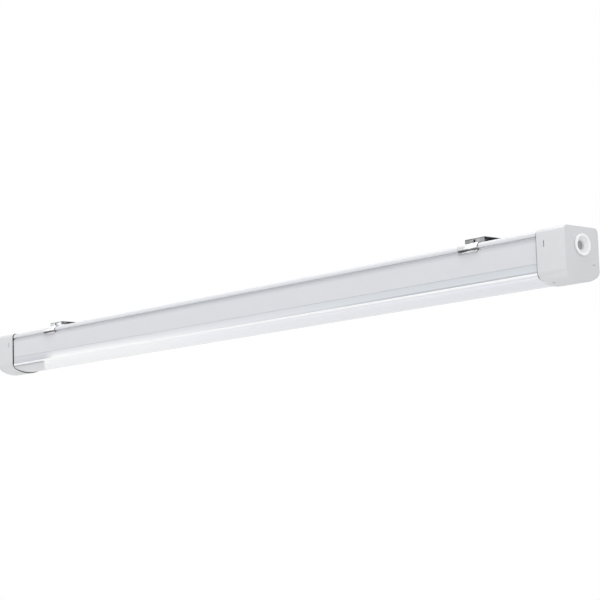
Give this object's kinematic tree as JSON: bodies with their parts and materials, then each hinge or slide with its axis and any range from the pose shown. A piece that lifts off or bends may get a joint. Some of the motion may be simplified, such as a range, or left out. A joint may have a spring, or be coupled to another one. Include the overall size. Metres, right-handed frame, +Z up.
{
  "type": "vapor-tight light",
  "caption": "Slim sealed linear light: a grey extruded housing bonded to an opal diffuser, slide-on end caps with cable grommets, and sprung steel ceiling clips.",
  "frame": {"origin": "midway between the two clips' screw holes, in the plane of their tops, which is the ceiling", "axes": "+X along the light towards the right-hand cap, -Y is the side that faces the viewer, +Z up into the ceiling"},
  "size_m": [1.2052, 0.0596, 0.0703],
  "materials": {
    "housing": "satin",
    "diffuser": "opal satin",
    "cap": "fine moulded satin",
    "gasket": "matt",
    "frame": "moulded",
    "grommet": "soft white",
    "clip": "cold rolled",
    "tray": "mill finish",
    "lamp_board": "white solder mask",
    "led": "phosphor",
    "screw": "zinc plated",
    "connector": "moulded",
    "driver_steel": "white powder coat",
    "circuit": "solder mask",
    "wound_parts": "potted",
    "wire": "smooth insulation"
  },
  "bodies": {
    "housing": {"housing": "housing", "diffuser": "diffuser", "cap_gasket_left": "gasket", "cap_gasket_right": "gasket", "end_frame_left": "frame", "end_frame_right": "frame", "gear_tray": "tray", "led_board_left": "lamp_board", "led_board_right": "lamp_board", "leds": "led", "board_screws": "screw", "driver_screws": "screw", "board_link": "connector", "lamp_plug": "connector", "terminal_block": "connector", "driver_case": "driver_steel", "driver_lid": "driver_steel", "driver_board": "circuit", "driver_parts": "wound_parts", "mains_wires": "wire", "lamp_wires": "wire"},
    "cap_left": {"end_cap_left": "cap", "cable_grommet_left": "grommet"},
    "cap_right": {"end_cap_right": "cap", "cable_grommet_right": "grommet"},
    "clip_left": {"mounting_clip_left": "clip"},
    "clip_right": {"mounting_clip_right": "clip"}
  },
  "joints": [
    {"name": "cap_left_slide", "type": "slide", "parent": "housing", "child": "cap_left", "axis": [-1, 0, 0], "range_m": [0, 0.06]},
    {"name": "cap_right_slide", "type": "slide", "parent": "housing", "child": "cap_right", "axis": [1, 0, 0], "range_m": [0, 0.06]},
    {"name": "clip_left_slide", "type": "slide", "parent": "housing", "child": "clip_left", "axis": [-1, 0, 0], "range_m": [-0.42, 0.0897]},
    {"name": "clip_right_slide", "type": "slide", "parent": "housing", "child": "clip_right", "axis": [1, 0, 0], "range_m": [-0.42, 0.0897]}
  ]
}
